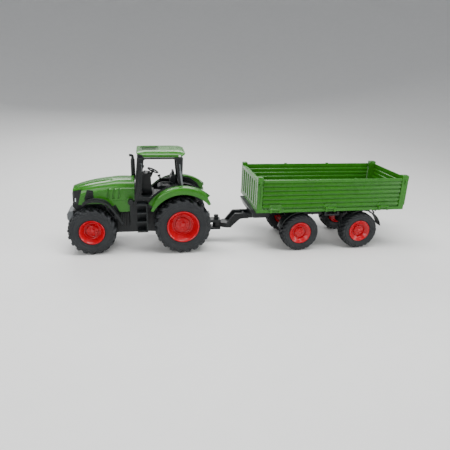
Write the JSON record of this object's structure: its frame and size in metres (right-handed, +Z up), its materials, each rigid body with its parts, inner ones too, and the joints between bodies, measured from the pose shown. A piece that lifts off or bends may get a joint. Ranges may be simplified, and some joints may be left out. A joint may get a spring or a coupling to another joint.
{
  "type": "toy tractor",
  "caption": "Free-rolling toy farm tractor with an open cab and a hitched tipping trailer whose side walls and tailgate fold down.",
  "frame": {"origin": "on the ground under the middle of the whole toy, tractor and trailer together", "axes": "+X forward along the tractor, +Y to the tractor's left, +Z up"},
  "size_m": [0.4152, 0.0952, 0.122],
  "materials": {
    "green_plastic": "gloss injection-moulded plastic, farm green",
    "dark_green_plastic": "gloss plastic, dark bottle green",
    "black_plastic": "satin injection-moulded plastic, near black",
    "grey_plastic": "satin moulded plastic, grey",
    "red_plastic": "gloss injection-moulded plastic, signal red",
    "tyre_rubber": "matt soft plastic tyre",
    "axle_steel": "drawn steel rod",
    "screw_zinc": "zinc-plated steel screws"
  },
  "bodies": {
    "tractor": {"chassis_frame": "black_plastic", "axle_covers": "black_plastic", "chassis_screws": "screw_zinc", "front_weight": "grey_plastic", "hood_shell": "green_plastic", "grille": "black_plastic", "exhaust_stack": "black_plastic", "front_mudguard_left": "black_plastic", "front_mudguard_right": "black_plastic", "cab_floor": "black_plastic", "cab_frame": "black_plastic", "cab_roof": "green_plastic", "roof_visor": "black_plastic", "roof_hatch": "dark_green_plastic", "mirror_left": "black_plastic", "mirror_right": "black_plastic", "dash_console": "black_plastic", "steering_wheel": "black_plastic", "driver_seat": "black_plastic", "rear_fender_left": "green_plastic", "rear_fender_right": "green_plastic", "step_left": "black_plastic", "step_right": "black_plastic", "hitch_clevis": "black_plastic"},
    "rear_axle": {"rear_shaft": "axle_steel", "rear_rim_left": "red_plastic", "rear_rim_right": "red_plastic", "rear_tyre_left": "tyre_rubber", "rear_tyre_right": "tyre_rubber"},
    "front_axle": {"front_shaft": "axle_steel", "front_rim_left": "red_plastic", "front_rim_right": "red_plastic", "front_tyre_left": "tyre_rubber", "front_tyre_right": "tyre_rubber"},
    "drop_pin": {"hitch_pin": "black_plastic"},
    "trailer": {"trailer_frame": "black_plastic", "drawbar": "black_plastic", "trailer_screws": "screw_zinc", "tip_pin": "axle_steel", "trailer_front_guard_left": "black_plastic", "trailer_front_guard_right": "black_plastic", "trailer_rear_guard_left": "black_plastic", "trailer_rear_guard_right": "black_plastic", "side_brackets": "black_plastic"},
    "trailer_front_axle": {"trailer_front_shaft": "axle_steel", "trailer_front_rim_left": "red_plastic", "trailer_front_rim_right": "red_plastic", "trailer_front_tyre_left": "tyre_rubber", "trailer_front_tyre_right": "tyre_rubber"},
    "trailer_rear_axle": {"trailer_rear_shaft": "axle_steel", "trailer_rear_rim_left": "red_plastic", "trailer_rear_rim_right": "red_plastic", "trailer_rear_tyre_left": "tyre_rubber", "trailer_rear_tyre_right": "tyre_rubber"},
    "bed": {"bed_floor": "green_plastic", "bed_front_wall": "green_plastic", "hinge_pins": "axle_steel"},
    "left_side": {"side_wall_left": "green_plastic"},
    "right_side": {"side_wall_right": "green_plastic"},
    "tail": {"tailgate": "green_plastic"}
  },
  "joints": [
    {"name": "rear_axle_spin", "type": "hinge", "parent": "tractor", "child": "rear_axle", "pos_m": [0.071, 0, 0.034], "axis": [0, 1, 0], "continuous": true},
    {"name": "front_axle_spin", "type": "hinge", "parent": "tractor", "child": "front_axle", "pos_m": [0.1772, 0, 0.0282], "axis": [0, 1, 0], "continuous": true},
    {"name": "hitch_pin_lift", "type": "slide", "parent": "tractor", "child": "drop_pin", "axis": [0, 0, 1], "range_m": [0, 0.016]},
    {"name": "hitch_yaw", "type": "hinge", "parent": "tractor", "child": "trailer", "pos_m": [0.026, 0, 0.0246], "axis": [0, 0, 1], "range_deg": [-60, 60]},
    {"name": "trailer_front_axle_spin", "type": "hinge", "parent": "trailer", "child": "trailer_front_axle", "pos_m": [-0.0737, 0, 0.0235], "axis": [0, 1, 0], "continuous": true},
    {"name": "trailer_rear_axle_spin", "type": "hinge", "parent": "trailer", "child": "trailer_rear_axle", "pos_m": [-0.1527, 0, 0.0235], "axis": [0, 1, 0], "continuous": true},
    {"name": "bed_tip", "type": "hinge", "parent": "trailer", "child": "bed", "pos_m": [-0.198, 0, 0.049], "axis": [0, -1, 0], "range_deg": [0, 45]},
    {"name": "left_side_drop", "type": "hinge", "parent": "bed", "child": "left_side", "pos_m": [-0.11, 0.046, 0.0563], "axis": [-1, 0, 0], "range_deg": [0, 165]},
    {"name": "right_side_drop", "type": "hinge", "parent": "bed", "child": "right_side", "pos_m": [-0.11, -0.046, 0.0563], "axis": [1, 0, 0], "range_deg": [0, 165]},
    {"name": "tailgate_drop", "type": "hinge", "parent": "bed", "child": "tail", "pos_m": [-0.206, 0, 0.0563], "axis": [0, -1, 0], "range_deg": [0, 115]}
  ]
}
